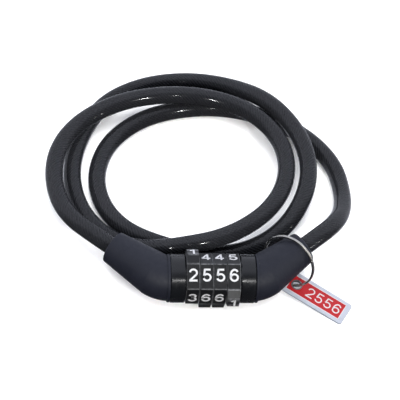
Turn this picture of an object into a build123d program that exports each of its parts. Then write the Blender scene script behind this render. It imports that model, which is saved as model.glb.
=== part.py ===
from build123d import *
import os
from math import cos, pi, radians, sin, tan

# Four-dial combination cable lock with a coiled cable, a key ring and a number tag.
# Millimetres.  The lock's axis runs along X, +Y is the side where the cable lies, +Z is up
# and the origin is on the ground straight under the middle of the dials.

# ---- driving dimensions -------------------------------------------------------------
AXIS_Z = 17.0            # height of the lock's axis above the ground
CABLE_R = 5.5            # plastic sheath, outside
ROPE_R = 3.7             # steel wire rope
SHEATH_BORE_R = 3.8

DIAL_FLATS = 26.0        # hexagonal dial, across flats
DIAL_PITCH = 8.0
DIAL_WIDTH = 7.7
DIAL_COUNT = 4
LUG_HEIGHT = 4.3         # thumb lug on the facet of digit 1
LUG_TOP_HALF = 3.6
LUG_TAPER = 0.8          # each end of a lug leans in by this much over its height
LUG_TAPER_R = 15.0       # where that lean starts, from the lock's axis
DIAL_EDGE = 0.7          # rounding of the dial's long edges
DIAL_CHAMFER = 0.35
RECESS_R = 10.5          # shallow recess in each face of a dial
RECESS_DEPTH = 0.55

GATE_R = 10.0            # gate ring, pressed into the dial
GATE_BORE_R = 7.5
GATE_ROOM_R = 9.0        # room in which a tooth of the lock pin can hide
GATE_ROOM_HALF = 1.9
GATE_SLOT = 3.5          # width of the slot that lets the teeth pass
DETENT_PLACES = 6
DETENT_GROOVE_R = 0.9
DETENT_GROOVE_PLACE_R = 7.4

CORE_R = 7.45
CORE_BORE_R = 5.0
CORE_LEFT = -22.0
CORE_RIGHT = 25.2
SLOT_WIDTH = 3.4
SLOT_LEFT = -14.4

SPRING_LEFT = -15.2      # detent spring, in its groove under the core tube
SPRING_RIGHT = 11.6
SPRING_WIDTH = 2.4
SPRING_THICK = 0.4
SPRING_BED_DEPTH = 0.8
SPRING_FINGER_R = 0.6
SPRING_FINGER_LENGTH = 1.1
SPRING_FINGER_OFF = 2.6  # finger's place left of the middle of its dial

PIN_R = 4.95
PIN_LEFT = -15.5
PIN_RIGHT = 28.5
PIN_TIP_CHAMFER = 0.8
TOOTH_TOP_R = 8.6
TOOTH_WIDTH = 3.0

COLLAR_R = 14.4
COLLAR_INNER = 16.2      # from the middle of the dials to a collar's near face
COLLAR_OUTER = 25.2
COLLAR_EDGE = 0.6
COLLAR_BOSS_R = 10.3
PART_GAP = 0.2           # between the right collar and the right boot

RING_CLIP_THICK = 0.7
RING_CLIP_GROOVE = 0.55  # depth of its groove in the core tube
RING_CLIP_OPEN = 4.4
SPACER_THICK = 1.2

# the two boots: left is -1 and right is 1
BEND_X = {-1: 30.0, 1: 28.0}      # where the boot's axis turns away from the lock's axis
BEND_TILT = {-1: 8.0, 1: 20.0}    # how far the turned leg is rolled up about the lock's axis
BOOT_END = {-1: 35.3, 1: 33.5}    # from the bend point to the boot's mouth
BEND_ANGLE = 36.0
BEND_R = 15.0
BOOT_START_R = 14.2
BOOT_START_WIDTH = 1.5
BOOT_START_ROUND = 0.25
BOOT_NECK_R = 13.4
BOOT_END_R = 9.9
BOOT_LIP = 1.2
CABLE_DEPTH = 10.5       # length of cable held inside a boot

ANCHOR_R = 7.45
ANCHOR_SHORT = 15.5      # from the boot's mouth back to the anchor's end
SPIGOT_LENGTH = 5.0
FERRULE_R = 5.2
FERRULE_START = 9.0
FERRULE_GAP = 0.2
FERRULE_RINGS = 2        # grooves pressed round the ferrule
FERRULE_RING_PITCH = 1.6
FERRULE_RING_WIDTH = 0.8
FERRULE_RING_DEPTH = 0.5
ROPE_TAIL = 9.0          # bare rope held inside the ferrule
ROLL_PIN_R = 1.25
ROLL_PIN_BORE_R = 0.7
ROLL_PIN_GAP = 0.4
ROLL_PIN_PLACE = 11.0
ROLL_PIN_HALF = 7.2

KEY_RING_R = 16.6        # to the middle of the wire
KEY_RING_TURN = 0.85     # thickness of one flat turn of the wire, along the ring's axis
KEY_RING_WIDE = 1.4
KEY_RING_ROUND = 0.3
KEY_RING_STEP = 0.9      # gap at each end of the wire
KEY_RING_ENDS = (15, 50) # heading of the gap in the lower and in the upper turn
KEY_RING_CENTRE = Vector(46.5, 12.1, 18.3)
KEY_RING_AXIS = Vector(0.597, 0.766, -0.240).normalized()

TAG_HOLE_AIM = Vector(53.7, 3.5, 2.8)   # the ring passes the tag's hole closest to here
TAG_TURN = -32.2         # heading of the tag's long side, from +X
TAG_DIP = 7.3            # the tag slopes down to the ground from its hole
TAG_LENGTH = 42.5
TAG_WIDTH = 16.0
TAG_THICK = 1.2
TAG_CORNER_R = 1.6
TAG_HOLE_PLACE = 7.8     # from the tag's near end to its hole
CARD_LENGTH = 36.6
CARD_WIDTH = 11.9
CARD_THICK = 0.35
CARD_CORNER_R = 0.3
POCKET_DEPTH = 0.4
EYELET_R = 3.45
EYELET_TUBE_R = 3.05
EYELET_BORE_R = 2.8
EYELET_RIM = 0.25

# facet of each dial that carries the lug, as the angle of its normal above -Y
LUG_ANGLES = [120, -60, -60, 0]

PAST = 1.0               # how far a cutting body runs past the face that it cuts


def leg_direction(side):
    """Direction of the right (side=1) or left (side=-1) boot's turned leg."""
    turn = radians(BEND_ANGLE)
    tilt = radians(BEND_TILT[side])
    return Vector(side * cos(turn), sin(turn) * cos(tilt), sin(turn) * sin(tilt))


def on_leg(side, distance):
    """Point on a boot's turned leg, at a distance from its bend point."""
    return Vector(side * BEND_X[side], 0, AXIS_Z) + leg_direction(side) * distance


def cable_start(side):
    return BOOT_END[side] - CABLE_DEPTH


# The cable leaves the left boot, lies in three loose turns and enters the right boot.
# Turns that cross another one pass a full cable diameter above it.
CABLE_ROUTE = [
    on_leg(-1, 24.8), on_leg(-1, 47.0),
    (-86.1, 45.9, 18.0), (-93.4, 70.2, 17.0), (-90.9, 95.8, 17.0), (-76.6, 117.7, 17.0),
    (-53.3, 133.0, 17.0), (-26.1, 140.0, 17.0), (1.6, 139.3, 17.0), (27.1, 130.3, 17.0),
    (44.5, 112.4, 17.0), (51.6, 89.9, 17.0), (47.6, 66.0, 17.0), (33.0, 45.2, 17.0),
    (9.6, 29.7, 17.3), (-16.5, 23.0, 17.6), (-39.5, 24.8, 10.2), (-61.0, 36.5, 5.5),
    (-77.1, 57.5, 5.5), (-82.5, 85.9, 5.5), (-76.3, 114.6, 5.5), (-61.7, 141.1, 5.5),
    (-37.7, 156.3, 5.5), (-8.8, 161.7, 5.5), (18.7, 156.1, 7.5), (41.4, 137.2, 17.5),
    (58.3, 113.7, 17.5), (65.1, 87.5, 17.0), (60.4, 61.2, 16.5), (45.6, 39.6, 10.0),
    (22.3, 27.1, 5.5), (-3.4, 24.9, 5.5), (-28.0, 32.0, 5.5), (-50.2, 42.9, 5.5),
    (-63.7, 61.6, 5.5), (-67.2, 85.1, 5.5), (-58.9, 109.9, 5.5), (-38.3, 129.2, 5.5),
    (-11.6, 138.3, 5.5), (16.7, 139.6, 5.5), (44.1, 131.3, 5.5), (66.7, 116.2, 5.5),
    (81.6, 95.6, 5.5), (85.2, 73.3, 7.0), (83.0, 53.5, 13.5), (75.6, 36.8, 22.3),
    on_leg(1, 42.6), on_leg(1, 23.0),
]


# ---- small helpers ------------------------------------------------------------------
def along_x(radius, low, high):
    """Solid round bar on the lock's axis from x=low to x=high."""
    bar = Cylinder(radius, high - low, rotation=(0, 90, 0))
    return Pos((low + high) / 2, 0, AXIS_Z) * bar


def block(x_low, x_high, y_low, y_high, z_low, z_high):
    """Solid box given by its limits."""
    centre = ((x_low + x_high) / 2, (y_low + y_high) / 2, (z_low + z_high) / 2)
    return Pos(*centre) * Box(x_high - x_low, y_high - y_low, z_high - z_low)


def leg_bar(side, radius, start, end, end_radius=None):
    """Solid round bar, or cone, on the turned leg of a boot."""
    plane = Plane(origin=on_leg(side, (start + end) / 2), z_dir=leg_direction(side))
    if end_radius is None:
        return plane * Cylinder(radius, end - start)
    return plane * Cone(radius, end_radius, end - start)


def up_slot(low, high, width, top_radius):
    """Box that cuts a slot upwards from the lock's axis."""
    return block(low, high, -width / 2, width / 2, AXIS_Z, AXIS_Z + top_radius)


# ---- dials --------------------------------------------------------------------------
def dial_outline(lug_angle):
    """Hexagon whose facet at lug_angle carries the tapered thumb lug."""
    apothem = DIAL_FLATS / 2
    half_side = apothem * tan(pi / 6)
    corners = []
    for k in range(6):
        normal = radians(lug_angle + 60 * k)
        if k == 0:
            steps = [(-half_side, apothem), (-LUG_TOP_HALF, apothem + LUG_HEIGHT),
                     (LUG_TOP_HALF, apothem + LUG_HEIGHT)]
        else:
            steps = [(-half_side, apothem)]
        for across, out in steps:
            corners.append((-out * cos(normal) + across * sin(normal),
                            out * sin(normal) + across * cos(normal)))
    return make_face(Polyline(corners, close=True))


def dial_middle(number):
    """Place along X of a dial's middle."""
    return (number - (DIAL_COUNT + 1) / 2) * DIAL_PITCH


def lug_limits(middle):
    """Turned body whose outer corners lean in, so that the ends of a lug do."""
    half = DIAL_WIDTH / 2
    top = LUG_TAPER_R + LUG_HEIGHT
    profile = [(-half, 0), (-half, LUG_TAPER_R), (LUG_TAPER - half, top),
               (half - LUG_TAPER, top), (half, LUG_TAPER_R), (half, 0)]
    face = make_face(Polyline([(x, 0, r) for x, r in profile], close=True))
    return Pos(middle, 0, AXIS_Z) * revolve(face, Axis.X, 360)


def dial(number):
    middle = dial_middle(number)
    outline = dial_outline(LUG_ANGLES[number - 1])
    outline = fillet(outline.vertices(), DIAL_EDGE)
    low, high = middle - DIAL_WIDTH / 2, middle + DIAL_WIDTH / 2
    across_axis = Plane(origin=(low, 0, AXIS_Z), x_dir=(0, 1, 0), z_dir=(1, 0, 0))
    body = extrude(across_axis * outline, DIAL_WIDTH)
    rims = body.edges().filter_by_position(Axis.X, low, low)
    rims += body.edges().filter_by_position(Axis.X, high, high)
    body = chamfer(rims, DIAL_CHAMFER) & lug_limits(middle)
    body -= along_x(GATE_R, low - PAST, high + PAST)
    body -= along_x(RECESS_R, low - PAST, low + RECESS_DEPTH)
    body -= along_x(RECESS_R, high - RECESS_DEPTH, high + PAST)
    return body


def gate_ring(number):
    """Ring with a room for one tooth, a slot in both walls and the six detent grooves."""
    middle = dial_middle(number)
    half = DIAL_WIDTH / 2 - RECESS_DEPTH
    wall = half - GATE_ROOM_HALF
    low, high = middle - half, middle + half
    ring = along_x(GATE_R, low, high)
    ring -= along_x(GATE_BORE_R, low - PAST, high + PAST)
    ring -= along_x(GATE_ROOM_R, middle - GATE_ROOM_HALF, middle + GATE_ROOM_HALF)
    ring -= up_slot(low - PAST, high + PAST, GATE_SLOT, GATE_ROOM_R)
    for k in range(DETENT_PLACES):
        turn = 2 * pi * k / DETENT_PLACES - pi / 2
        groove = Cylinder(DETENT_GROOVE_R, wall + PAST, rotation=(0, 90, 0))
        ring -= Pos(low + (wall - PAST) / 2, DETENT_GROOVE_PLACE_R * cos(turn),
                    AXIS_Z + DETENT_GROOVE_PLACE_R * sin(turn)) * groove
    return ring


# ---- inside of the lock -------------------------------------------------------------
def core_tube():
    """Tube on which the dials turn, slotted on top and open to the right."""
    tube = along_x(CORE_R, CORE_LEFT, CORE_RIGHT)
    tube -= along_x(CORE_BORE_R, CORE_LEFT - PAST, CORE_RIGHT + PAST)
    tube -= up_slot(SLOT_LEFT, CORE_RIGHT + PAST, SLOT_WIDTH, CORE_R + PAST)
    clip = clip_span()
    tube -= along_x(CORE_R + PAST, *clip) - along_x(CORE_R - RING_CLIP_GROOVE, *clip)
    return tube - spring_strip(AXIS_Z - CORE_R - PAST, spring_top())


def spring_top():
    """Height of the roof of the detent spring's groove."""
    return AXIS_Z - CORE_R + SPRING_BED_DEPTH


def spring_strip(low, high):
    """Flat strip in the detent spring's place, between two heights."""
    return block(SPRING_LEFT, SPRING_RIGHT, -SPRING_WIDTH / 2, SPRING_WIDTH / 2, low, high)


def detent_spring():
    """Spring strip with one rounded finger for each dial."""
    top = spring_top()
    strip = spring_strip(top - SPRING_THICK, top)
    for number in range(1, DIAL_COUNT + 1):
        finger = Cylinder(SPRING_FINGER_R, SPRING_FINGER_LENGTH, rotation=(0, 90, 0))
        strip += Pos(dial_middle(number) - SPRING_FINGER_OFF, 0, top - SPRING_FINGER_R) * finger
    return strip


def clip_span():
    """Limits along X of the retaining ring beside the last dial."""
    return COLLAR_INNER - RING_CLIP_THICK, COLLAR_INNER


def retaining_ring():
    low, high = clip_span()
    ring = along_x(COLLAR_BOSS_R, low, high)
    ring -= along_x(CORE_R - RING_CLIP_GROOVE, low - PAST, high + PAST)
    return ring - up_slot(low - PAST, high + PAST, RING_CLIP_OPEN, COLLAR_BOSS_R + PAST)


def spacer_rings():
    """Three flat rings between the dials, notched for the teeth of the lock pin."""
    rings = []
    for number in range(1, DIAL_COUNT):
        middle = dial_middle(number) + DIAL_PITCH / 2
        low, high = middle - SPACER_THICK / 2, middle + SPACER_THICK / 2
        ring = along_x(COLLAR_BOSS_R, low, high) - along_x(CORE_R, low - PAST, high + PAST)
        rings.append(ring - up_slot(low - PAST, high + PAST, GATE_SLOT, GATE_ROOM_R))
    return Compound(rings)


def collar(side):
    """Round end collar of the dial stack; the left one has a boss that backs the first dial."""
    near, far = sorted((side * COLLAR_INNER, side * COLLAR_OUTER))
    ring = along_x(COLLAR_R, near, far)
    ring = chamfer(ring.edges().filter_by(GeomType.CIRCLE), COLLAR_EDGE)
    if side < 0:
        ring += along_x(COLLAR_BOSS_R, far - PAST, far + RING_CLIP_THICK)
    ring -= along_x(CORE_R, near - PAST, far + RING_CLIP_THICK + PAST)
    if side > 0:
        ring -= up_slot(near - PAST, far + PAST, GATE_SLOT, GATE_ROOM_R)
    return ring


def lock_pin():
    """Pin of the plug with one tooth for each dial."""
    pin = along_x(PIN_R, PIN_LEFT, PIN_RIGHT)
    pin = chamfer(pin.edges().group_by(Axis.X)[0], PIN_TIP_CHAMFER)
    half = TOOTH_WIDTH / 2
    for number in range(1, DIAL_COUNT + 1):
        middle = dial_middle(number)
        pin += block(middle - half, middle + half, -half, half, AXIS_Z, AXIS_Z + TOOTH_TOP_R)
    return pin


# ---- boots, anchors and ferrules ----------------------------------------------------
def bend_tangent():
    """Distance from a bend point to either end of the bend's arc."""
    return BEND_R * tan(radians(BEND_ANGLE / 2))


def bend(side, radius):
    """Round bar through a boot's bend, from the lock's axis to the turned leg."""
    start = Vector(side * (BEND_X[side] - bend_tangent()), 0, AXIS_Z)
    tilt = radians(BEND_TILT[side])
    inward = Vector(0, cos(tilt), sin(tilt))
    turn_axis = Axis(start + inward * BEND_R, Vector(side, 0, 0).cross(inward))
    section = Plane(origin=start, z_dir=(side, 0, 0)) * Circle(radius)
    return revolve(section, turn_axis, BEND_ANGLE)


def elbow(side, radius, near, leg_end):
    """Round elbow: a bar on the lock's axis where there is room, the bend and a bar on the leg."""
    shape = bend(side, radius) + leg_bar(side, radius, bend_tangent(), leg_end)
    bend_near = BEND_X[side] - bend_tangent()
    if near < bend_near:
        shape += along_x(radius, *sorted((side * near, side * bend_near)))
    return shape


def roll_pin_plane(side):
    """Plane across the leg whose normal, the pin's axis, is level with the ground."""
    across = leg_direction(side).cross(Vector(0, 0, 1)).normalized()
    return Plane(origin=on_leg(side, ROLL_PIN_PLACE), z_dir=across)


def roll_pin_bar(side, radius, half):
    """Bar across the leg in the roll pin's place."""
    return roll_pin_plane(side) * Cylinder(radius, 2 * half)


def boot_start(side):
    """Distance of a boot's face from the middle of the dials."""
    return COLLAR_OUTER if side < 0 else COLLAR_OUTER + PART_GAP


def anchor_end(side):
    return BOOT_END[side] - ANCHOR_SHORT


def boot(side):
    """Moulded boot: it turns away from the collar and tapers to the cable's mouth."""
    start = boot_start(side)
    cone = leg_bar(side, BOOT_NECK_R, bend_tangent(), BOOT_END[side], BOOT_END_R)
    mouth = on_leg(side, BOOT_END[side])
    rims = cone.edges().filter_by(GeomType.CIRCLE)
    rim = rims.sort_by(lambda edge: (edge.arc_center - mouth).length)[0]
    shape = bend(side, BOOT_NECK_R) + fillet(rim, BOOT_LIP)
    reach = 2 * BOOT_NECK_R
    shape -= block(*sorted((0, side * start)), -reach, reach, AXIS_Z - reach, AXIS_Z + reach)
    flange = along_x(BOOT_START_R, *sorted((side * start, side * (start + BOOT_START_WIDTH))))
    shape += fillet(flange.edges().filter_by(GeomType.CIRCLE), BOOT_START_ROUND)
    shape -= elbow(side, ANCHOR_R, start - PAST, anchor_end(side))
    shape -= leg_bar(side, FERRULE_R, anchor_end(side) - PAST, cable_start(side))
    return shape - leg_bar(side, CABLE_R, cable_start(side), BOOT_END[side] + PAST)


def anchor(side):
    """Metal elbow that holds the crimped ferrule and joins it to the core or the pin."""
    if side < 0:
        shape = elbow(side, ANCHOR_R, -CORE_LEFT, anchor_end(side))
        shape += along_x(CORE_BORE_R, CORE_LEFT - PAST, CORE_LEFT + SPIGOT_LENGTH)
    else:
        shape = elbow(side, ANCHOR_R, boot_start(side), anchor_end(side))
        shape -= along_x(2 * ANCHOR_R, 0, boot_start(side))
        shape -= along_x(PIN_R, COLLAR_OUTER - PAST, PIN_RIGHT)
    shape -= leg_bar(side, FERRULE_R, FERRULE_START, anchor_end(side) + PAST)
    return shape - roll_pin_bar(side, ROLL_PIN_R, ROLL_PIN_HALF + PAST)


def ferrule(side):
    """Crimped sleeve on the rope's end, with pressed rings outside."""
    mouth = cable_start(side) - FERRULE_GAP
    shape = leg_bar(side, FERRULE_R, FERRULE_START, mouth)
    shape -= leg_bar(side, ROPE_R, cable_start(side) - ROPE_TAIL, mouth + PAST)
    for ring in range(FERRULE_RINGS):
        low = anchor_end(side) + PAST + FERRULE_RING_PITCH * ring
        high = low + FERRULE_RING_WIDTH
        groove = leg_bar(side, FERRULE_R + PAST, low, high)
        shape -= groove - leg_bar(side, FERRULE_R - FERRULE_RING_DEPTH, low, high)
    return shape - roll_pin_bar(side, ROLL_PIN_R, ROLL_PIN_HALF + PAST)


def roll_pin(side):
    """Rolled spring pin with its long gap."""
    pin = roll_pin_bar(side, ROLL_PIN_R, ROLL_PIN_HALF)
    pin -= roll_pin_bar(side, ROLL_PIN_BORE_R, ROLL_PIN_HALF + PAST)
    gap = Pos(ROLL_PIN_R, 0, 0) * Box(2 * ROLL_PIN_R, ROLL_PIN_GAP, 2 * (ROLL_PIN_HALF + PAST))
    return pin - roll_pin_plane(side) * gap


# ---- cable --------------------------------------------------------------------------
def bend_radii(route):
    """Arc radius at each inner point: 0.45 of the shorter run over the tangent of half the turn."""
    radii = []
    for before, here, after in zip(route, route[1:], route[2:]):
        run_in = Vector(*here) - Vector(*before)
        run_out = Vector(*after) - Vector(*here)
        turn = radians(run_in.get_angle(run_out))
        radii.append(0.45 * min(run_in.length, run_out.length) / tan(turn / 2))
    return radii


def cable_path():
    return FilletPolyline(*CABLE_ROUTE, radius=bend_radii(CABLE_ROUTE))


def swept(path, radius, bore=0.0):
    """Round bar or tube along the path."""
    section = Circle(radius) - Circle(bore) if bore else Circle(radius)
    return sweep(Plane(origin=path @ 0, z_dir=path % 0) * section, path=path)


def wire_rope(path):
    """The steel rope: inside the sheath, and bare in the two ferrules."""
    rope = swept(path, ROPE_R)
    for side in (-1, 1):
        rope += leg_bar(side, ROPE_R, cable_start(side) - ROPE_TAIL, cable_start(side))
    return rope


# ---- key ring and tag ---------------------------------------------------------------
def key_ring():
    """Split ring: two flat turns pressed together, with a gap at each end of the wire."""
    plane = Plane(origin=KEY_RING_CENTRE, z_dir=KEY_RING_AXIS)
    turn = fillet(Rectangle(KEY_RING_WIDE, KEY_RING_TURN).vertices(), KEY_RING_ROUND)
    coils = []
    for level, heading in zip((-KEY_RING_TURN / 2, KEY_RING_TURN / 2), KEY_RING_ENDS):
        coil = revolve(Plane.XZ * Pos(KEY_RING_R, level) * turn, Axis.Z, 360)
        gap = Pos(KEY_RING_R, 0, 2 * level) * Box(2 * KEY_RING_WIDE, KEY_RING_STEP, 2 * KEY_RING_TURN)
        coils.append(coil - Rot(0, 0, heading) * gap)
    return plane * (coils[0] + coils[1])


def tag_plane():
    """Plane of the tag, with its origin in the hole and X towards the far end."""
    out = TAG_HOLE_AIM - KEY_RING_CENTRE
    out = out - KEY_RING_AXIS * out.dot(KEY_RING_AXIS)
    hole = KEY_RING_CENTRE + out.normalized() * KEY_RING_R
    heading, dip = radians(TAG_TURN), radians(TAG_DIP)
    ahead = Vector(cos(heading) * cos(dip), sin(heading) * cos(dip), -sin(dip))
    normal = Vector(cos(heading) * sin(dip), sin(heading) * sin(dip), cos(dip))
    return Plane(origin=hole, x_dir=ahead, z_dir=normal)


def tag_plate(length, width, low, high, corner, hole_r):
    """Plate centred on the tag, from height low to high, with a hole at the tag's hole."""
    outline = fillet(Rectangle(length, width).vertices(), corner)
    middle = TAG_LENGTH / 2 - TAG_HOLE_PLACE
    plate = extrude(Pos(middle, 0, low) * outline, high - low)
    return plate - Cylinder(hole_r, 4 * TAG_THICK)


def tag_sleeve():
    """Clear laminated sleeve with a pocket for the printed card."""
    top = TAG_THICK / 2
    sleeve = tag_plate(TAG_LENGTH, TAG_WIDTH, -top, top, TAG_CORNER_R, EYELET_TUBE_R)
    pocket = tag_plate(CARD_LENGTH, CARD_WIDTH, top - POCKET_DEPTH, top + PAST, CARD_CORNER_R, EYELET_BORE_R)
    return sleeve - pocket


def tag_card():
    low = TAG_THICK / 2 - POCKET_DEPTH
    return tag_plate(CARD_LENGTH, CARD_WIDTH, low, low + CARD_THICK, CARD_CORNER_R, EYELET_TUBE_R)


def tag_eyelet():
    """Metal eyelet clinched through sleeve and card."""
    bottom, top = -TAG_THICK / 2, TAG_THICK / 2 - POCKET_DEPTH + CARD_THICK
    tube = Pos(0, 0, (bottom + top) / 2) * Cylinder(EYELET_TUBE_R, top - bottom + 2 * EYELET_RIM)
    for edge in (bottom - EYELET_RIM / 2, top + EYELET_RIM / 2):
        tube += Pos(0, 0, edge) * Cylinder(EYELET_R, EYELET_RIM)
    return tube - Cylinder(EYELET_BORE_R, 4 * TAG_THICK)


def export_all(parts):
    os.makedirs("parts", exist_ok=True)
    for name, shape in parts.items():
        export_step(shape, "parts/" + name + ".step")


def main():
    parts = {}
    for side, word in ((-1, "left"), (1, "right")):
        parts["boot_" + word] = boot(side)
        parts["anchor_" + word] = anchor(side)
        parts["ferrule_" + word] = ferrule(side)
        parts["roll_pin_" + word] = roll_pin(side)
        parts["collar_" + word] = collar(side)
    for number in range(1, DIAL_COUNT + 1):
        parts["dial_%d" % number] = dial(number)
        parts["gate_ring_%d" % number] = gate_ring(number)
    parts["core_tube"] = core_tube()
    parts["detent_spring"] = detent_spring()
    parts["retaining_ring"] = retaining_ring()
    parts["spacer_rings"] = spacer_rings()
    parts["lock_pin"] = lock_pin()
    path = cable_path()
    parts["cable_sheath"] = swept(path, CABLE_R, SHEATH_BORE_R)
    parts["wire_rope"] = wire_rope(path)
    parts["key_ring"] = key_ring()
    parts["tag_sleeve"] = tag_plane() * tag_sleeve()
    parts["tag_card"] = tag_plane() * tag_card()
    parts["tag_eyelet"] = tag_plane() * tag_eyelet()
    export_all(parts)
    section = pi * (CABLE_R ** 2 - SHEATH_BORE_R ** 2)
    print("arc radii", [round(r, 1) for r in bend_radii(CABLE_ROUTE)])
    print("cable length", round(path.length, 1), "sheath volume", round(parts["cable_sheath"].volume, 1),
          "section times length", round(section * path.length, 1))
    print("tag hole", tag_plane().origin, "ring axis", KEY_RING_AXIS)


main()
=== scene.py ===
"""Looks of the four-dial combination cable lock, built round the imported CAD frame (metres)."""
from math import cos, pi, radians, sin

import bpy
from mathutils import Matrix, Vector


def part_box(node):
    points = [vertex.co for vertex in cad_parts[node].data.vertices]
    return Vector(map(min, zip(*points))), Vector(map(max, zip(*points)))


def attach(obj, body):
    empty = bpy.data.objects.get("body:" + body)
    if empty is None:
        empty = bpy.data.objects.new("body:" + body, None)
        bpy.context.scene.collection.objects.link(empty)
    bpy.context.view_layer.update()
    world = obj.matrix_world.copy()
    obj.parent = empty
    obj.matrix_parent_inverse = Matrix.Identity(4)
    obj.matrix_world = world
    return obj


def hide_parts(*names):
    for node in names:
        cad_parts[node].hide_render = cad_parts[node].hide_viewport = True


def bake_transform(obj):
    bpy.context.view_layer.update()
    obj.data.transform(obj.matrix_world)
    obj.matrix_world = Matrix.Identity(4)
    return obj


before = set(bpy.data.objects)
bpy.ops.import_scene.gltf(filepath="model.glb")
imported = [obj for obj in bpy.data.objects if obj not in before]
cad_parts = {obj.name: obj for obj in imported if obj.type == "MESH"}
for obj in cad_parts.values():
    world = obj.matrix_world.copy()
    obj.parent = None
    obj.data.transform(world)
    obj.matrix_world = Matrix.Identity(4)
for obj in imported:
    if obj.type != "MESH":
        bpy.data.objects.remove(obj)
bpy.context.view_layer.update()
MM = 0.001

# ---- sizes taken from the frame --------------------------------------------------------
CODE = (2, 5, 5, 6)                     # digit of each dial on the row that faces up and front
DIAL_COUNT = len(CODE)
PLACES = 6                              # facets of a dial, each with one digit
ROW_ELEVATION = 60.0                    # normal of the row that shows the code, above -Y
AXIS_Z = (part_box("core_tube")[0].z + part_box("core_tube")[1].z) / 2
DIAL_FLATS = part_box("dial_1")[1].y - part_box("dial_1")[0].y
LUG_HEIGHT = 4.3 * MM                   # how far the thumb lug stands out of its facet
DIAL_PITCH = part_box("dial_2")[0].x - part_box("dial_1")[0].x
CABLE_D = 11.0 * MM

# ---- camera ----------------------------------------------------------------------------
CAMERA_AZIMUTH, CAMERA_ELEVATION, CAMERA_ROLL = -8.5, 53.0, 7.4
CAMERA_DISTANCE = 1.3
CAMERA_TARGET = Vector((-2.5, 70.3, 0.0)) * MM
CAMERA_LENS = 190.1
SENSOR_WIDTH = 36.0
CAMERA_REACH = 20.0


def add_camera():
    """Camera at the viewing angle of the photograph."""
    az, el = radians(CAMERA_AZIMUTH), radians(CAMERA_ELEVATION)
    back = Vector((sin(az) * cos(el), -cos(az) * cos(el), sin(el)))
    right = (-back).cross(Vector((0, 0, 1))).normalized()
    up = back.cross(right)
    turn = Matrix.Rotation(radians(CAMERA_ROLL), 3, back)
    right, up = turn @ right, turn @ up
    data = bpy.data.cameras.new("camera")
    data.lens = CAMERA_LENS
    data.sensor_width = SENSOR_WIDTH
    data.clip_end = CAMERA_REACH
    camera = bpy.data.objects.new("camera", data)
    place = Matrix((right, up, back)).transposed().to_4x4()
    place.translation = CAMERA_TARGET + back * CAMERA_DISTANCE
    camera.matrix_world = place
    bpy.context.collection.objects.link(camera)
    bpy.context.scene.camera = camera


add_camera()


# ---- cable -----------------------------------------------------------------------------
BEND_ANGLE = radians(36.0)              # of the boots, left (-1) and right (1)
BEND_X = {-1: 30.0, 1: 28.0}
BEND_TILT = {-1: radians(8.0), 1: radians(20.0)}


def on_leg(side, distance):
    """Point on the axis of the left (-1) or right (1) boot's turned leg, in millimetres."""
    tilt = BEND_TILT[side]
    return (side * (BEND_X[side] + distance * cos(BEND_ANGLE)),
            distance * sin(BEND_ANGLE) * cos(tilt),
            AXIS_Z / MM + distance * sin(BEND_ANGLE) * sin(tilt))


CABLE_ROUTE = [
    on_leg(-1, 24.8), on_leg(-1, 47.0),
    (-86.1, 45.9, 18.0), (-93.4, 70.2, 17.0), (-90.9, 95.8, 17.0), (-76.6, 117.7, 17.0),
    (-53.3, 133.0, 17.0), (-26.1, 140.0, 17.0), (1.6, 139.3, 17.0), (27.1, 130.3, 17.0),
    (44.5, 112.4, 17.0), (51.6, 89.9, 17.0), (47.6, 66.0, 17.0), (33.0, 45.2, 17.0),
    (9.6, 29.7, 17.3), (-16.5, 23.0, 17.6), (-39.5, 24.8, 10.2), (-61.0, 36.5, 5.5),
    (-77.1, 57.5, 5.5), (-82.5, 85.9, 5.5), (-76.3, 114.6, 5.5), (-61.7, 141.1, 5.5),
    (-37.7, 156.3, 5.5), (-8.8, 161.7, 5.5), (18.7, 156.1, 7.5), (41.4, 137.2, 17.5),
    (58.3, 113.7, 17.5), (65.1, 87.5, 17.0), (60.4, 61.2, 16.5), (45.6, 39.6, 10.0),
    (22.3, 27.1, 5.5), (-3.4, 24.9, 5.5), (-28.0, 32.0, 5.5), (-50.2, 42.9, 5.5),
    (-63.7, 61.6, 5.5), (-67.2, 85.1, 5.5), (-58.9, 109.9, 5.5), (-38.3, 129.2, 5.5),
    (-11.6, 138.3, 5.5), (16.7, 139.6, 5.5), (44.1, 131.3, 5.5), (66.7, 116.2, 5.5),
    (81.6, 95.6, 5.5), (85.2, 73.3, 7.0), (83.0, 53.5, 13.5), (75.6, 36.8, 22.3),
    on_leg(1, 42.6), on_leg(1, 23.0),
]
SPLINE_STEPS = 18
SHEATH_SIDES = 28
WIRES = 14
WIRE_R = 0.6 * MM
WIRE_PLACE_R = 4.72 * MM                # close under the skin, where refraction shows the rope
WIRE_PITCH = 31.0 * MM
WIRE_SIDES = 5
CORE_SIDES = 14
CORE_SHORTFALL = 0.1 * WIRE_R           # the core ends this far inside the wires' centre lines


def spline_points(route, steps):
    """Points of the smooth NURBS line whose control points are the route."""
    curve = bpy.data.curves.new("route", "CURVE")
    curve.dimensions = "3D"
    line = curve.splines.new("NURBS")
    line.points.add(len(route) - 1)
    for point, place in zip(line.points, route):
        point.co = (*(value * MM for value in place), 1.0)
    line.order_u = 3
    line.use_endpoint_u = True
    line.resolution_u = steps
    holder = bpy.data.objects.new("route", curve)
    bpy.context.collection.objects.link(holder)
    bpy.context.view_layer.update()
    graph = bpy.context.evaluated_depsgraph_get()
    mesh = bpy.data.meshes.new_from_object(holder.evaluated_get(graph))
    points = [v.co.copy() for v in mesh.vertices]
    bpy.data.objects.remove(holder)
    return points


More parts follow.
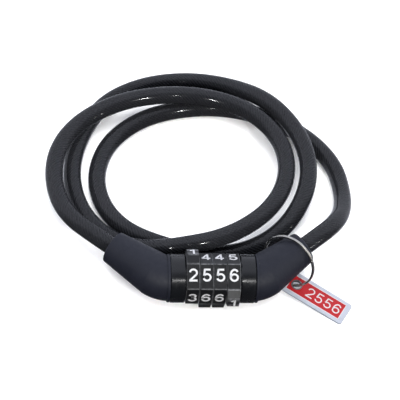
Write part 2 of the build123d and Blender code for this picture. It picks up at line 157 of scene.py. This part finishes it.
def frames_along(points):
    """Tangent and two crosswise directions at each point, carried along without twist."""
    frames = []
    side = None
    for k, here in enumerate(points):
        ahead = points[min(k + 1, len(points) - 1)] - points[max(k - 1, 0)]
        tangent = ahead.normalized()
        if side is None:
            side = tangent.cross(Vector((0, 0, 1))).normalized()
        side = (side - tangent * side.dot(tangent)).normalized()
        frames.append((tangent, side, tangent.cross(side)))
    return frames


def new_mesh(name, vertices, faces, smooth=True):
    mesh = bpy.data.meshes.new(name)
    mesh.from_pydata([tuple(v) for v in vertices], [], faces)
    mesh.validate()
    mesh.polygons.foreach_set("use_smooth", [smooth] * len(mesh.polygons))
    mesh.update()
    piece = bpy.data.objects.new(name, mesh)
    bpy.context.collection.objects.link(piece)
    return piece


def tube_shell(points, frames, radii, sides, vertices, faces):
    """Adds a closed tube through points to vertices and faces."""
    first = len(vertices)
    for here, (tangent, side, lift), radius in zip(points, frames, radii):
        for k in range(sides):
            angle = 2 * pi * k / sides
            vertices.append(here + (side * cos(angle) + lift * sin(angle)) * radius)
    for ring in range(len(points) - 1):
        for k in range(sides):
            a = first + ring * sides + k
            b = first + ring * sides + (k + 1) % sides
            faces.append((a, b, b + sides, a + sides))
    last = first + (len(points) - 1) * sides
    faces.append(tuple(first + k for k in reversed(range(sides))))
    faces.append(tuple(last + k for k in range(sides)))


cable_line = spline_points(CABLE_ROUTE, SPLINE_STEPS)
cable_frames = frames_along(cable_line)
cable_steps = [0.0]
for before, after in zip(cable_line, cable_line[1:]):
    cable_steps.append(cable_steps[-1] + (after - before).length)


def make_sheath():
    """The plastic tube over the rope."""
    vertices, faces = [], []
    radii = [CABLE_D / 2] * len(cable_line)
    tube_shell(cable_line, cable_frames, radii, SHEATH_SIDES, vertices, faces)
    return new_mesh("cable_sheath_smooth", vertices, faces)


def make_strands():
    """The rope's outer wires, laid in a helix under the sheath, and its core."""
    vertices, faces = [], []
    for wire in range(WIRES):
        start = 2 * pi * wire / WIRES
        line = []
        for here, (tangent, side, lift), along in zip(cable_line, cable_frames, cable_steps):
            angle = start + 2 * pi * along / WIRE_PITCH
            line.append(here + (side * cos(angle) + lift * sin(angle)) * WIRE_PLACE_R)
        tube_shell(line, frames_along(line), [WIRE_R] * len(line), WIRE_SIDES, vertices, faces)
    core = [WIRE_PLACE_R - CORE_SHORTFALL] * len(cable_line)
    tube_shell(cable_line, cable_frames, core, CORE_SIDES, vertices, faces)
    return new_mesh("rope_strands", vertices, faces)


sheath = make_sheath()
strands = make_strands()


# ---- materials -------------------------------------------------------------------------
class Nodes:
    """Small helper that builds one Principled material."""

    def __init__(self, name, **sockets):
        self.material = bpy.data.materials.new(name)
        self.material.use_nodes = True
        self.tree = self.material.node_tree
        self.shader = self.tree.nodes["Principled BSDF"]
        for socket, value in sockets.items():
            self.shader.inputs[socket.replace("_", " ")].default_value = value
        self.place = None

    def add(self, kind, **settings):
        node = self.tree.nodes.new("ShaderNode" + kind)
        for key, value in settings.items():
            if hasattr(node, key):
                setattr(node, key, value)
            else:
                node.inputs[key.replace("_", " ")].default_value = value
        return node

    def link(self, source, target):
        self.tree.links.new(source, target)

    def object_place(self):
        if self.place is None:
            self.place = self.add("TexCoord").outputs["Object"]
        return self.place

    def noise(self, scale, detail=4.0, roughness=0.6):
        node = self.add("TexNoise", Scale=scale, Detail=detail, Roughness=roughness)
        self.link(self.object_place(), node.inputs["Vector"])
        return node.outputs["Fac"]

    def ramp(self, factor, *stops):
        """Colour ramp from (position, colour) stops; a bare number is a grey."""
        node = self.add("ValToRGB")
        ramp = node.color_ramp
        while len(ramp.elements) < len(stops):
            ramp.elements.new(0.5)
        for element, (position, colour) in zip(ramp.elements, stops):
            element.position = position
            element.color = (*colour, 1) if isinstance(colour, tuple) else (colour,) * 3 + (1,)
        self.link(factor, node.inputs["Fac"])
        return node.outputs["Color"]

    def math(self, operation, first, second=None):
        """Output of a Math node on two values, each an output or a number."""
        node = self.add("Math", operation=operation)
        for socket, value in zip(node.inputs, (first, second)):
            if isinstance(value, bpy.types.NodeSocket):
                self.link(value, socket)
            elif value is not None:
                socket.default_value = value
        return node.outputs["Value"]

    def mix(self, factor, plain, other):
        """Colour between two outputs, the second where factor is one."""
        node = self.add("Mix", data_type="RGBA")
        self.link(factor, node.inputs["Factor"])
        for socket, colour in (("A", plain), ("B", other)):
            self.link(colour, [i for i in node.inputs if i.name == socket and i.type == "RGBA"][0])
        return [o for o in node.outputs if o.type == "RGBA"][0]

    def bump(self, height, strength, distance):
        node = self.add("Bump", Strength=strength, Distance=distance)
        self.link(height, node.inputs["Height"])
        self.link(node.outputs["Normal"], self.shader.inputs["Normal"])

    def to(self, output, socket):
        """Feeds one socket of the shader."""
        self.link(output, self.shader.inputs[socket])


def sheath_material():
    """Smoky clear PVC: mostly dark, the rope shows through it."""
    m = Nodes("smoky_pvc", Alpha=0.58, IOR=1.45, Specular_IOR_Level=0.5)
    smoke = m.ramp(m.noise(60.0), (0.3, (0.004, 0.0045, 0.006)), (0.7, (0.008, 0.0085, 0.011)))
    m.to(smoke, "Base Color")
    m.to(m.ramp(m.noise(40.0, 2.0), (0.35, 0.08), (0.7, 0.13)), "Roughness")
    m.bump(m.noise(60.0, 1.0), 0.04, 0.0001)
    return m.material


def strand_material():
    """Grey wires seen through the smoky plastic, with a dull sheen."""
    m = Nodes("dark_rope_steel", Specular_IOR_Level=0.15)
    grey = m.ramp(m.noise(700.0), (0.3, (0.10, 0.102, 0.112)), (0.7, (0.16, 0.163, 0.178)))
    m.to(grey, "Base Color")
    m.to(m.ramp(m.noise(400.0), (0.3, 0.65), (0.8, 0.85)), "Roughness")
    return m.material


def boot_material():
    """Bluish charcoal moulded plastic with a fine spark-eroded texture."""
    m = Nodes("boot_plastic_fine", Specular_IOR_Level=0.35)
    charcoal = m.ramp(m.noise(45.0), (0.3, (0.011, 0.0125, 0.021)), (0.75, (0.017, 0.019, 0.030)))
    m.to(charcoal, "Base Color")
    m.to(m.ramp(m.noise(300.0), (0.3, 0.5), (0.8, 0.68)), "Roughness")
    m.bump(m.noise(2600.0, 3.0), 0.3, 0.00008)
    return m.material


def collar_material():
    """Glossy black plastic of the end collars."""
    m = Nodes("collar_gloss_black", Specular_IOR_Level=0.4)
    black = m.ramp(m.noise(70.0), (0.3, (0.006, 0.0065, 0.008)), (0.75, (0.011, 0.012, 0.014)))
    m.to(black, "Base Color")
    m.to(m.ramp(m.noise(260.0, 6.0), (0.3, 0.18), (0.8, 0.34)), "Roughness")
    m.bump(m.noise(420.0, 2.0), 0.1, 0.0001)
    return m.material


DIAL_RIM = 0.55 * MM                     # width of the rubbed rim at each face of a dial
FACET_RIM_R = 14.78 * MM                 # from here outwards a facet's long edges are rubbed
LUG_FOOT_R = 15.2 * MM
LUG_RIM_R = 17.35 * MM


def dial_material():
    """Satin black plastic, rubbed grey along its rims and the edges of its facets."""
    m = Nodes("dial_black_worn", Specular_IOR_Level=0.4)
    parts = m.add("SeparateXYZ")
    m.link(m.object_place(), parts.inputs["Vector"])
    rim = m.math("PINGPONG", parts.outputs["X"], DIAL_PITCH / 2)
    rim = m.ramp(m.math("DIVIDE", rim, DIAL_RIM), (0.6, 1.0), (1.0, 0.0))
    height = m.math("SUBTRACT", parts.outputs["Z"], AXIS_Z)
    squares = m.math("ADD", m.math("POWER", parts.outputs["Y"], 2.0), m.math("POWER", height, 2.0))
    radius = m.math("SQRT", squares)
    past_facet = m.math("GREATER_THAN", radius, FACET_RIM_R)
    facet = m.math("MULTIPLY", past_facet, m.math("LESS_THAN", radius, LUG_FOOT_R))
    lug_top = m.math("GREATER_THAN", radius, LUG_RIM_R)
    edge = m.math("MAXIMUM", rim, m.math("MAXIMUM", facet, lug_top))
    patches = m.ramp(m.noise(420.0, 5.0), (0.34, 0.15), (0.6, 1.0))
    wear = m.math("MULTIPLY", edge, patches)
    black = m.ramp(m.noise(120.0), (0.3, (0.007, 0.0075, 0.008)), (0.75, (0.013, 0.0135, 0.015)))
    grey = m.ramp(m.noise(900.0), (0.3, (0.10, 0.102, 0.106)), (0.75, (0.24, 0.243, 0.25)))
    m.to(m.mix(wear, black, grey), "Base Color")
    m.to(m.ramp(m.noise(380.0), (0.3, 0.28), (0.8, 0.48)), "Roughness")
    m.bump(m.noise(1500.0, 3.0), 0.15, 0.00005)
    return m.material


def digit_material():
    """White paint, chipped here and there."""
    m = Nodes("digit_white")
    chips = m.ramp(m.noise(420.0, 6.0), (0.29, 0.0), (0.33, 1.0))
    dark = m.ramp(m.noise(900.0), (0.3, (0.02, 0.02, 0.02)), (0.7, (0.06, 0.06, 0.06)))
    m.to(m.mix(chips, dark, m.ramp(m.noise(900.0, 6.0), (0.3, 0.72), (0.5, 0.9))), "Base Color")
    m.to(m.ramp(m.noise(500.0), (0.3, 0.35), (0.8, 0.6)), "Roughness")
    return m.material


METAL_GRAIN = 300.0
PLASTIC_GRAIN = 200.0


def metal_material(name, dark, light, rough_low, rough_high):
    """Bare or plated metal with a slightly uneven surface."""
    m = Nodes(name, Metallic=1.0)
    m.to(m.ramp(m.noise(METAL_GRAIN), (0.3, dark), (0.75, light)), "Base Color")
    m.to(m.ramp(m.noise(METAL_GRAIN * 2), (0.3, rough_low), (0.8, rough_high)), "Roughness")
    m.bump(m.noise(METAL_GRAIN * 4, 3.0), 0.08, 0.00005)
    return m.material


def plastic_material(name, dark, light, rough_low, rough_high):
    """Printed or moulded plastic of the tag."""
    m = Nodes(name)
    m.to(m.ramp(m.noise(PLASTIC_GRAIN), (0.3, dark), (0.75, light)), "Base Color")
    m.to(m.ramp(m.noise(PLASTIC_GRAIN * 2), (0.3, rough_low), (0.8, rough_high)), "Roughness")
    m.bump(m.noise(PLASTIC_GRAIN * 3, 3.0), 0.1, 0.00005)
    return m.material


def dress(piece, material):
    """Gives the whole piece one material."""
    piece.data.materials.clear()
    piece.data.materials.append(material)


BOOT = boot_material()
COLLAR = collar_material()
DIAL = dial_material()
WHITE = digit_material()
ZINC = metal_material("die_cast_zinc", (0.3, 0.3, 0.32), (0.5, 0.5, 0.52), 0.35, 0.55)
STEEL = metal_material("spring_steel_plain", (0.35, 0.36, 0.38), (0.55, 0.56, 0.58), 0.22, 0.4)
NICKEL = metal_material("nickel_plate", (0.42, 0.41, 0.38), (0.62, 0.6, 0.56), 0.16, 0.28)
EYELET = metal_material("eyelet_dull_nickel", (0.3, 0.29, 0.29), (0.45, 0.43, 0.43), 0.35, 0.5)
BRASS = metal_material("gate_brass", (0.5, 0.36, 0.16), (0.75, 0.57, 0.28), 0.25, 0.4)
ALUMINIUM = metal_material("ferrule_aluminium", (0.5, 0.5, 0.52), (0.7, 0.7, 0.72), 0.3, 0.5)
SLEEVE = plastic_material("tag_sleeve_white", (0.52, 0.55, 0.62), (0.64, 0.67, 0.74), 0.3, 0.45)
CARD = plastic_material("tag_card_red", (0.50, 0.006, 0.010), (0.60, 0.010, 0.015), 0.45, 0.6)
INK = plastic_material("tag_ink_white", (0.8, 0.78, 0.78), (0.92, 0.9, 0.9), 0.2, 0.35)

NODE_MATERIALS = {
    "boot": BOOT, "collar": COLLAR, "dial": DIAL, "gate": BRASS, "anchor": ZINC, "core": ZINC,
    "ferrule": ALUMINIUM, "roll": STEEL, "detent": STEEL, "retaining": STEEL, "spacer": STEEL,
    "lock": STEEL, "key": NICKEL, "tag_sleeve": SLEEVE, "tag_card": CARD, "tag_eyelet": EYELET,
}
for name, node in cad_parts.items():
    for start, material in NODE_MATERIALS.items():
        if name.startswith(start):
            dress(node, material)

dress(sheath, sheath_material())
dress(strands, strand_material())
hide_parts("cable_sheath")
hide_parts("wire_rope")
for piece in (sheath, strands):
    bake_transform(piece)


# ---- digits ----------------------------------------------------------------------------
def arc(centre, radii, start, end, count=16):
    """Points of an ellipse's arc, from one angle to another in degrees."""
    angles = [radians(start + (end - start) * k / count) for k in range(count + 1)]
    return [(centre[0] + radii[0] * cos(a), centre[1] + radii[1] * sin(a)) for a in angles]


# Centre lines of each digit's strokes: one unit high, foot at zero, about x = 0.
STROKES = {
    1: [[(0.08, 0.0), (0.08, 1.0)], [(0.07, 0.93), (-0.2, 0.74)]],
    2: [arc((0.0, 0.68), (0.28, 0.255), 172, -36) + [(-0.25, 0.1)], [(-0.33, 0.065), (0.33, 0.065)]],
    3: [arc((0.0, 0.725), (0.25, 0.21), 168, -90) + [(-0.1, 0.515)],
        [(-0.1, 0.525)] + arc((0.0, 0.295), (0.285, 0.23), 90, -168)],
    4: [[(0.14, 0.0), (0.14, 1.0)], [(0.13, 0.93), (-0.29, 0.3)],
        [(-0.345, 0.275), (0.345, 0.275)]],
    5: [[(0.28, 0.935), (-0.215, 0.935)], [(-0.175, 0.98), (-0.24, 0.46)],
        arc((0.0, 0.325), (0.285, 0.26), 145, -162)],
    6: [arc((0.0, 0.32), (0.285, 0.255), 0, 360, 32),
        arc((0.02, 0.53), (0.305, 0.405), 36, 180) + [(-0.285, 0.32)]],
}


def stroke_bar(line, half, low, high, vertices, faces):
    """Adds a flat bar of even width along a line of (x, y) points, from height low to high."""
    first = len(vertices)
    for k, (x, y) in enumerate(line):
        before, after = line[max(k - 1, 0)], line[min(k + 1, len(line) - 1)]
        run = Vector((after[0] - before[0], after[1] - before[1])).normalized()
        for side in (-half, half):
            for height in (low, high):
                vertices.append(Vector((x - run.y * side, y + run.x * side, height)))
    for a in range(first, first + 4 * (len(line) - 1), 4):
        faces += [(a + 1, a + 5, a + 7, a + 3), (a, a + 2, a + 6, a + 4),
                  (a, a + 4, a + 5, a + 1), (a + 2, a + 3, a + 7, a + 6)]
    end = len(vertices) - 4
    faces += [(first, first + 1, first + 3, first + 2), (end, end + 2, end + 3, end + 1)]


def digit_strokes(digit, place, height, width, stroke, lift, vertices, faces):
    """Adds one raised digit, centred on the frame place."""
    own, own_faces = [], []
    for line in STROKES[digit]:
        scaled = [(x * width, (y - 0.5) * height) for x, y in line]
        stroke_bar(scaled, stroke / 2, -lift, lift, own, own_faces)
    first = len(vertices)
    vertices += [place @ v for v in own]
    faces += [tuple(first + k for k in face) for face in own_faces]


DIGIT_HEIGHT = 7.4 * MM
DIGIT_WIDTH = 7.3 * MM                  # of the unit in which the strokes are drawn
DIGIT_STROKE = 1.15 * MM
# How far each row's print stands above the middle of its facet, from the code's row on.
DIGIT_UP = [value * MM for value in (0.95, -1.0, 0.0, 0.0, 0.0, 2.0)]
LUG_DIGIT_HEIGHT = 5.8 * MM
DIGIT_LIFT = 0.06 * MM


def facet_place(elevation, out, up_by, x):
    """Frame on a facet: X along the lock, Y up the facet and Z out of it."""
    e = radians(elevation)
    normal = Vector((0, -cos(e), sin(e)))
    up = Vector((0, sin(e), cos(e)))
    place = Matrix((Vector((1, 0, 0)), up, normal)).transposed().to_4x4()
    place.translation = Vector((x, 0, AXIS_Z)) + normal * out + up * up_by
    return place


def dial_digits(number):
    """The six digits of one dial; digit 1 stands on the lug."""
    low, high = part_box("dial_%d" % number)
    middle = (low.x + high.x) / 2
    vertices, faces = [], []
    for step in range(PLACES):
        digit = (CODE[number - 1] - 1 + step) % PLACES + 1
        out, height, up_by = DIAL_FLATS / 2, DIGIT_HEIGHT, DIGIT_UP[step]
        if digit == 1:
            out, height, up_by = out + LUG_HEIGHT, LUG_DIGIT_HEIGHT, 0.0
        place = facet_place(ROW_ELEVATION - 360.0 / PLACES * step, out, up_by, middle)
        digit_strokes(digit, place, height, DIGIT_WIDTH, DIGIT_STROKE, DIGIT_LIFT, vertices, faces)
    piece = new_mesh("digits_%d" % number, vertices, faces, smooth=False)
    dress(piece, WHITE)
    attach(piece, "dial_%d" % number)


for number in range(1, DIAL_COUNT + 1):
    dial_digits(number)


# ---- print on the tag ------------------------------------------------------------------
TAG_TURN, TAG_DIP = radians(-32.2), radians(7.3)
CARD_LENGTH, CARD_WIDTH = 36.6 * MM, 11.9 * MM
CARD_MIDDLE = 13.45 * MM                # from the hole to the middle of the card
CARD_TOP = 0.55 * MM
PRINT_LIFT = 0.03 * MM
BORDER = 0.45 * MM
TAG_DIGIT_HEIGHT = 7.0 * MM
TAG_DIGIT_WIDTH = 6.8 * MM
TAG_DIGIT_STROKE = 0.75 * MM
TAG_DIGIT_STEP = 6.0 * MM
TAG_DIGITS_MIDDLE = 18.6 * MM


def tag_frame():
    """Frame on top of the card, with its origin over the hole and X along the tag."""
    low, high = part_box("tag_eyelet")
    ahead = Vector((cos(TAG_TURN) * cos(TAG_DIP), sin(TAG_TURN) * cos(TAG_DIP), -sin(TAG_DIP)))
    normal = Vector((cos(TAG_TURN) * sin(TAG_DIP), sin(TAG_TURN) * sin(TAG_DIP), cos(TAG_DIP)))
    place = Matrix((ahead, normal.cross(ahead), normal)).transposed().to_4x4()
    place.translation = (low + high) / 2 + normal * CARD_TOP
    return place


def tag_print():
    """White printed line round the card and the code as its number."""
    vertices, faces = [], []
    place = tag_frame()
    for k, digit in enumerate(CODE):
        along = TAG_DIGITS_MIDDLE + (k - (len(CODE) - 1) / 2) * TAG_DIGIT_STEP
        digit_strokes(digit, place @ Matrix.Translation((along, 0, 0)), TAG_DIGIT_HEIGHT,
                      TAG_DIGIT_WIDTH, TAG_DIGIT_STROKE, PRINT_LIFT, vertices, faces)
    first = len(vertices)
    border, border_faces = [], []
    half_long, half_wide = (CARD_LENGTH - BORDER) / 2, (CARD_WIDTH - BORDER) / 2
    for side in (-1, 1):
        long_line = [(CARD_MIDDLE + end * half_long, side * half_wide) for end in (-1, 1)]
        stroke_bar(long_line, BORDER / 2, -PRINT_LIFT, PRINT_LIFT, border, border_faces)
        across = CARD_MIDDLE + side * half_long
        end_line = [(across, BORDER / 2 - half_wide), (across, half_wide - BORDER / 2)]
        stroke_bar(end_line, BORDER / 2, -PRINT_LIFT, PRINT_LIFT, border, border_faces)
    vertices += [place @ v for v in border]
    faces += [tuple(first + k for k in face) for face in border_faces]
    piece = new_mesh("tag_print", vertices, faces, smooth=False)
    dress(piece, INK)
    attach(piece, "tag")


tag_print()


# ---- floor and light -------------------------------------------------------------------
FLOOR_HALF = 3.0


def add_floor():
    """Pale matt floor, faintly bright and left out of reflections and bounced light."""
    corners = [(x * FLOOR_HALF, y * FLOOR_HALF, 0) for x, y in ((-1, -1), (1, -1), (1, 1), (-1, 1))]
    floor = new_mesh("floor", corners, [(0, 1, 2, 3)], smooth=False)
    m = Nodes("pale_floor", Roughness=0.9, Specular_IOR_Level=0.0, Emission_Strength=0.12)
    m.shader.inputs["Base Color"].default_value = (0.93, 0.93, 0.93, 1)
    m.shader.inputs["Emission Color"].default_value = (1, 1, 1, 1)
    floor.visible_glossy = False
    floor.visible_diffuse = False
    dress(floor, m.material)
    return floor


def add_light(name, azimuth, elevation, distance, width, height, power):
    """Soft rectangular light aimed at the lock; azimuth 0 is on the -Y side."""
    az, el = radians(azimuth), radians(elevation)
    away = Vector((sin(az) * cos(el), -cos(az) * cos(el), sin(el)))
    data = bpy.data.lights.new(name, "AREA")
    data.shape = "RECTANGLE"
    data.size, data.size_y = width, height
    data.energy = power
    light = bpy.data.objects.new(name, data)
    light.location = CAMERA_TARGET + away * distance
    light.rotation_euler = away.to_track_quat("Z", "Y").to_euler()
    bpy.context.collection.objects.link(light)
    return light


DOME_AXIS = (0.0, 0.958, 0.287)        # the bright dome's middle: behind the lock, a little up
DOME_BRIGHT = (1.02, 1.06, 1.2)
DOME_DARK = (0.05, 0.052, 0.06)
DOME_EDGE = (-0.15, 0.3)                # cosine to the axis where it is dark, and where bright


def add_world():
    """Soft dome that is bright above and behind the lock and dark in front of it."""
    world = bpy.data.worlds.new("studio")
    world.use_nodes = True
    nodes, links = world.node_tree.nodes, world.node_tree.links
    dot = nodes.new("ShaderNodeVectorMath")
    dot.operation = "DOT_PRODUCT"
    dot.inputs[1].default_value = DOME_AXIS
    links.new(nodes.new("ShaderNodeTexCoord").outputs["Generated"], dot.inputs[0])
    ramp = nodes.new("ShaderNodeMapRange")
    ramp.inputs["From Min"].default_value = DOME_EDGE[0]
    ramp.inputs["From Max"].default_value = DOME_EDGE[1]
    links.new(dot.outputs["Value"], ramp.inputs["Value"])
    mix = nodes.new("ShaderNodeMix")
    mix.data_type = "RGBA"
    colours = [i for i in mix.inputs if i.type == "RGBA"]
    for socket, colour in zip(colours, (DOME_DARK, DOME_BRIGHT)):
        socket.default_value = (*colour, 1)
    links.new(ramp.outputs["Result"], mix.inputs["Factor"])
    result = [o for o in mix.outputs if o.type == "RGBA"][0]
    links.new(result, nodes["Background"].inputs["Color"])
    bpy.context.scene.world = world


floor = add_floor()
add_world()
# Azimuth, elevation, distance, width, height and power of each light.
LIGHTS = {
    "front_left": (-20, 36, 1.4, 0.10, 0.05, 6.0),
    "front_right": (27, 36, 1.4, 0.10, 0.05, 6.0),
    "front_top": (7, 43, 1.4, 0.06, 0.04, 1.6),
    "right": (60, 6, 1.4, 0.3, 0.06, 1.5),
    "overhead": (0, 88, 1.5, 1.2, 1.2, 34.0),
}
lights = {name: add_light(name, *settings) for name, settings in LIGHTS.items()}
# The overhead light falls on the floor alone and keeps it white.
only_floor = bpy.data.collections.new("only_floor")
only_floor.objects.link(floor)
lights["overhead"].light_linking.receiver_collection = only_floor
bpy.context.scene.view_settings.view_transform = "Standard"
